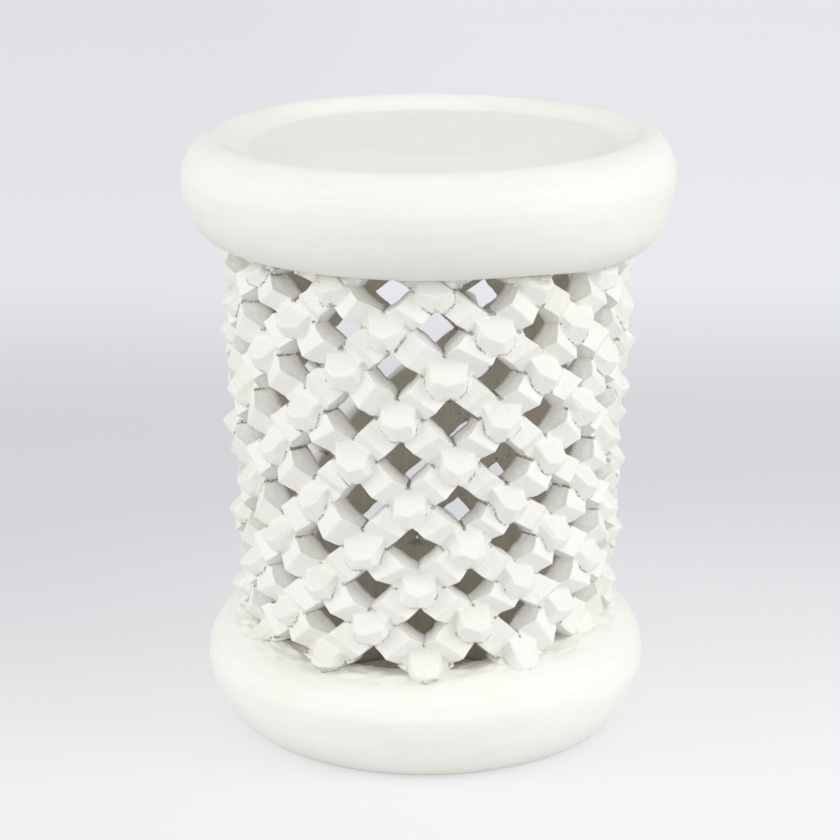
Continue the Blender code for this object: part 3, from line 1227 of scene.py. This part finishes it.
@dataclass
class Seat(TurnedPiece):
    """The thick round seat, with a rolled rim and a shallow dish.

    Changes are over the cosine of the angle towards the side that they are named after.
    """

    top: float = 0.450
    underside: float = 0.3645
    edge_radius: float = 0.180
    roll_above: float = 0.031
    crest_inset: float = 0.0235
    underside_inset: float = 0.0375
    dish_depth: float = 0.0100
    dish_border: float = 0.0215
    middle: float = 0.003
    drum_inside: float = 0.126
    fullness: float = 1.9
    mean_drop: float = 0.00225
    front_drop: float = 0.00275
    side_drop: float = 0.00125
    front_lift: Change = Change(0.0037, 0.0, 0.6)
    right_sag: Change = Change(0.0062, 0.35, 1.0)
    right_bulge: Change = Change(0.003, 0.35, 1.0)
    left_rim: Change = Change(0.006, 0.6, 1.0)
    left_rim_depth: float = 0.012
    round_error: Lumps = Lumps(0.0010, 18.0, 1.6, 1)
    level_error: Lumps = Lumps(0.0007, 22.0, 2.2, 2)
    oval_error: float = 0.0006
    oval_turn: float = 0.6

    def outline(self) -> tuple[Array, Array]:
        """Half section from the middle of the dish over the rim to the middle of the underside.

        Returns:
            Points of radius and height, and the bareness of each: the underside inside the drum is raw.
        """
        crest = self.edge_radius - self.crest_inset
        floor_edge = crest - self.dish_border
        floor = self.top - self.dish_depth
        widest = self.top - self.roll_above
        under = self.edge_radius - self.underside_inset
        flat = straight_run((self.middle, floor), (floor_edge, floor), 60)
        rise = np.linspace(0.0, 1.0, 26)[1:]
        climb_height = floor + self.dish_depth * smoothstep(0.0, 1.0, rise)
        climb = np.stack([floor_edge + self.dish_border * rise, climb_height], axis=-1)
        upper = rolled_edge((crest, self.top), (self.edge_radius, widest), self.fullness, 40, True)[1:]
        lower = rolled_edge((self.edge_radius, widest), (under, self.underside), self.fullness, 54, False)[1:]
        base = straight_run((under, self.underside), (self.middle, self.underside), 40)[1:]
        points = np.concatenate([flat, climb, upper, lower, base])
        below = points[:, 1] < self.underside + 0.0005
        return points, np.where(below & (points[:, 0] < self.drum_inside), 1.0, 0.0)

    def uneven(self, angle: Array, radius: Array, height: Array) -> tuple[Array, Array, Array]:
        """Hand-made errors of the seat.

        The top leans, the underside is higher in front and lower on the right, and the rim is uneven.

        Args:
            angle: angle round the axis, 0 in front.
            radius: outline radius.
            height: outline height.

        Returns:
            Sideways shift, radius and height.
        """
        out = smoothstep(0.02, 0.15, radius)
        high = smoothstep(self.underside + 0.03, self.top, height)
        low = smoothstep(self.top - 0.04, self.underside, height)
        lean = self.side_drop * np.sin(angle) - self.front_drop * np.cos(angle) - self.mean_drop
        lean = lean * high * smoothstep(0.05, 0.15, radius)
        lift = (self.front_lift.at(np.cos(angle)) - self.right_sag.at(np.sin(angle))) * low * out
        bulge = self.right_bulge.at(np.sin(angle)) * low * out
        crest = self.edge_radius - self.crest_inset
        floor_edge = crest - self.dish_border
        dish = smoothstep(0.10, floor_edge, radius) * smoothstep(crest, floor_edge, radius)
        dish = np.where(height > self.top - self.left_rim_depth, dish, 0.0)
        radius = radius - self.left_rim.at(-np.sin(angle)) * dish
        oval = self.oval_error * np.cos(2.0 * angle + self.oval_turn)
        radius = radius + out * (self.lumps(self.round_error, angle, height) + oval)
        radius = radius + bulge * smoothstep(self.underside, self.underside + 0.02, height)
        height = height + lean + lift + out * self.lumps(self.level_error, angle, radius)
        return np.zeros_like(radius), radius, height


@dataclass
class FootRing(TurnedPiece):
    """The rounded ring that stands on the floor and carries the strands."""

    steps: int = 480
    closed: bool = True
    crest_height: float = 0.094
    edge_radius: float = 0.165
    roll_above: float = 0.042
    crest_inset: float = 0.038
    underside_inset: float = 0.036
    bore: float = 0.1085
    bore_round: float = 0.012
    bare_inset: float = 0.004
    fullness: float = 1.9
    low_fullness: float = 1.62
    side_shift: float = -0.0016
    front_dip: float = 0.42
    dip_angle: float = -0.35
    rough_reach: float = 0.152
    rough_fade: float = 0.010
    rough_depth: float = 0.0014
    chips: Lumps = Lumps(1.0, 170.0, 15.0, 3)
    fine_chips: Lumps = Lumps(0.5, 420.0, 38.0, 4)
    round_error: Lumps = Lumps(0.0011, 20.0, 1.8, 1)
    level_error: Lumps = Lumps(0.0009, 20.0, 2.4, 2)

    def outline(self) -> tuple[Array, Array]:
        """Closed section: over the crest, round the outside, along the flat underside and up the bore.

        Returns:
            Points of radius and height, and the bareness of each: the bore is raw.
        """
        crest = (self.edge_radius - self.crest_inset, self.crest_height)
        widest = (self.edge_radius, self.crest_height - self.roll_above)
        under = (self.edge_radius - self.underside_inset, 0.0)
        inner_top = (self.bore, self.crest_height - self.bore_round)
        inside = rolled_edge(inner_top, crest, self.fullness, 16, False)
        upper = rolled_edge(crest, widest, self.fullness, 44, True)[1:]
        lower = rolled_edge(widest, under, self.low_fullness, 44, False)[1:]
        base = straight_run(under, (self.bore, 0.0), 10)[1:]
        wall = straight_run((self.bore, 0.0), inner_top, 16)[1:-1]
        points = np.concatenate([inside, upper, lower, base, wall])
        return points, np.where(points[:, 0] < crest[0] - self.bare_inset, 1.0, 0.0)

    def uneven(self, angle: Array, radius: Array, height: Array) -> tuple[Array, Array, Array]:
        """Hand-made errors of the ring, a dip in front and chisel marks between the strands.

        They are left out at the floor, so that the ring stands flat.

        Args:
            angle: angle round the axis, 0 in front.
            radius: outline radius.
            height: outline height.

        Returns:
            Sideways shift, radius and height.
        """
        clear = smoothstep(0.0, 0.02, height)
        above = np.maximum(height - (self.crest_height - self.roll_above), 0.0)
        chiselled = smoothstep(self.rough_reach, self.rough_reach - self.rough_fade, radius)
        chiselled = chiselled * smoothstep(0.70, 0.85, height / self.crest_height)
        chips = self.lumps(self.chips, angle, radius) + self.lumps(self.fine_chips, angle, radius)
        height = height - self.front_dip * above * (0.5 + 0.5 * np.cos(angle - self.dip_angle)) ** 3
        radius = radius + self.lumps(self.round_error, angle, height)
        height = height + clear * self.lumps(self.level_error, angle, radius)
        height = height + self.rough_depth * chiselled * chips
        return np.full_like(radius, self.side_shift), radius, height


# Studio

@dataclass(frozen=True)
class Lamp:
    """One square soft light: its place and the length of its side in metres, and its power in watts."""

    name: str
    place: Triple
    size: float
    power: float

    def hang(self, aim: Triple) -> None:
        """Hang the light and turn it to a point.

        Args:
            aim: the point that it faces.
        """
        data = bpy.data.lights.new(self.name, "AREA")
        data.size = self.size
        data.energy = self.power
        light = add_object(self.name, data)
        light.location = self.place
        toward = np.array(aim) - np.array(self.place)
        tilt = math.atan2(math.hypot(toward[0], toward[1]), -toward[2])
        light.rotation_euler = (tilt, 0.0, math.atan2(toward[1], toward[0]) - 0.5 * math.pi)


LAMPS = (
    Lamp("left", (-2.4, -0.9, 1.3), 1.7, 26.0),
    Lamp("right", (2.4, -0.9, 1.3), 1.7, 31.0),
    Lamp("front", (0.0, -3.0, 0.9), 1.6, 12.5),
)


@dataclass
class Studio:
    """Plain pale floor, soft lights and the camera.

    The spans are distances on the floor, in metres, between which its own light changes.
    """

    picture_width: float = 840.0
    focal_pixels: float = 2671.0
    camera_place: Triple = (-0.0059, -1.919, 0.768)
    camera_tilt: float = math.radians(90.0 - 15.67)
    sensor: float = 36.0
    sight: float = 60.0
    aim: Triple = (0.0, 0.0, 0.25)
    sky: Triple = (0.97, 0.98, 1.0)
    ambient: float = 0.72
    floor_size: float = 24.0
    paper: Triple = (0.32, 0.32, 0.335)
    paper_roughness: Blotches = Blotches(3.0, 2.0, 0.85, 0.95)
    paper_specular: float = 0.1
    paper_clouds: Blotches = Blotches(1.5, 2.0, -0.015, 0.015)
    bounce: Triple = (0.57, 0.57, 0.58)
    bounce_near: Triple = (0.80, 0.80, 0.81)
    bounce_fade: Span = (0.22, 0.60)
    glow_front: Triple = (0.58, 0.58, 0.575)
    glow_middle: Triple = (0.376, 0.378, 0.391)
    glow_far: Triple = (0.545, 0.551, 0.571)
    glow_inside: Triple = (0.10, 0.088, 0.072)
    inside_fade: Span = (0.112, 0.124)
    # The left fade, dimming and lead paint a broad shadow of the object into the floor's glow
    left_fade: Span = (0.15, -0.45)
    left_painted_shadow: float = 0.07
    left_lead: float = 0.11
    front_fade: Span = (-0.13, 0.67)
    back_fade: Span = (0.77, 1.60)

    def camera(self) -> None:
        """Set the camera that was fitted to the outline and the bosses."""
        data = bpy.data.cameras.new("camera")
        data.sensor_width = self.sensor
        data.lens = self.focal_pixels / self.picture_width * self.sensor
        data.clip_end = self.sight
        camera = add_object("camera", data)
        camera.location = self.camera_place
        camera.rotation_euler = (self.camera_tilt, 0.0, 0.0)
        bpy.context.scene.camera = camera

    def lights(self) -> None:
        """Hang the lamps, the right one a little stronger than the left one, in even light all round."""
        for lamp in LAMPS:
            lamp.hang(self.aim)
        world = bpy.data.worlds.new("studio")
        world.use_nodes = True
        background = world.node_tree.nodes["Background"]
        background.inputs["Color"].default_value = (*self.sky, 1.0)
        background.inputs["Strength"].default_value = self.ambient
        bpy.context.scene.world = world

    def floor(self) -> None:
        """Lay the floor: one broad sheet whose pale look, lifted by painted light, deepens a little behind
        the object.
        """
        half = 0.5 * self.floor_size
        mesh = bpy.data.meshes.new("floor")
        corners = [(-half, -half, 0.0), (half, -half, 0.0), (half, half, 0.0), (-half, half, 0.0)]
        mesh.from_pydata(corners, [], [(0, 1, 2, 3)])
        sheet = add_object("floor", mesh)
        mesh.materials.append(self.floor_finish())

    def floor_finish(self) -> bpy.types.Material:
        """Pale paper: one colour where it is seen, and a paler one for the light that it throws back.

        The seen paper reflects the lights and so keeps the shadow. A share of its own light, painted light
        which only the camera, gloss and glass see, lifts it to the pale background: deepest some way behind
        the object and lighter beyond. On the left it is a little dimmer and deepens sooner, a painted shadow
        of the object. The patch of floor inside the foot ring keeps only a faint brownish glow, so that it
        stays dark.

        Returns:
            The floor's material.
        """
        wiring = Wiring("studio_paper")
        across, depth, _ = wiring.axes(wiring.place)
        left = wiring.band(across, *self.left_fade)
        path = wiring.node("LightPath", {}).outputs
        seen = wiring.calc("MAXIMUM", path["Is Camera Ray"], path["Is Glossy Ray"])
        seen = wiring.calc("MAXIMUM", seen, path["Is Transmission Ray"])
        cloud = wiring.swing(self.paper_clouds)
        shifted = wiring.calc("MULTIPLY_ADD", left, self.left_lead, depth)
        near = wiring.calc("ADD", wiring.band(shifted, *self.front_fade), cloud, clamp=True)
        far = wiring.calc("ADD", wiring.band(depth, *self.back_fade), cloud, clamp=True)
        away = wiring.length(across, depth)
        thrown = wiring.blend(wiring.band(away, *self.bounce_fade), self.bounce_near, self.bounce)
        glow = wiring.blend(far, wiring.blend(near, self.glow_front, self.glow_middle), self.glow_far)
        # Painted shadow: the glow fades towards black on the left of the object
        glow = wiring.blend(wiring.calc("MULTIPLY", left, self.left_painted_shadow), glow, (0.0, 0.0, 0.0))
        glow = wiring.blend(wiring.band(away, *self.inside_fade), self.glow_inside, glow)
        return wiring.surface({"Base Color": wiring.blend(seen, thrown, self.paper), "Emission Color": glow,
                               "Emission Strength": seen, "Roughness": wiring.swing(self.paper_roughness),
                               "Specular IOR Level": self.paper_specular})

    def build(self) -> None:
        """Set up the whole studio."""
        bpy.context.scene.view_settings.view_transform = "Standard"
        self.camera()
        self.lights()
        self.floor()


def main() -> None:
    """Build the pieces in order, dress them and set up the studio."""
    logging.basicConfig(level=logging.INFO, format="%(name)s: %(message)s")
    seat_low, seat_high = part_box("seat")
    _, foot_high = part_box("foot_ring")
    paint = WhitePaint()
    wood = BareWood()
    lattice = DrumLattice(seat_underside=seat_low.z, foot_crest=foot_high.z, seat_radius=seat_high.x,
                          foot_radius=foot_high.x)
    seat = Seat("seat", top=seat_high.z, underside=seat_low.z, edge_radius=seat_high.x)
    foot_ring = FootRing("foot_ring", crest_height=foot_high.z, edge_radius=foot_high.x, seed=8)
    for piece in (seat, foot_ring):
        made = piece.build(TurnedFinish(f"painted_{piece.name}", paint, wood).material())
        LOG.info("%s: %d faces", made.name, len(made.data.polygons))
    strand_finish = StrandFinish(paint, wood, lattice.half_width).material()
    for family, number in itertools.product(Family, range(lattice.strands)):
        made = Strand(lattice, family, number).build(strand_finish)
        LOG.info("%s: %d faces", made.name, len(made.data.polygons))
    Studio().build()


if __name__ == "__main__":
    main()
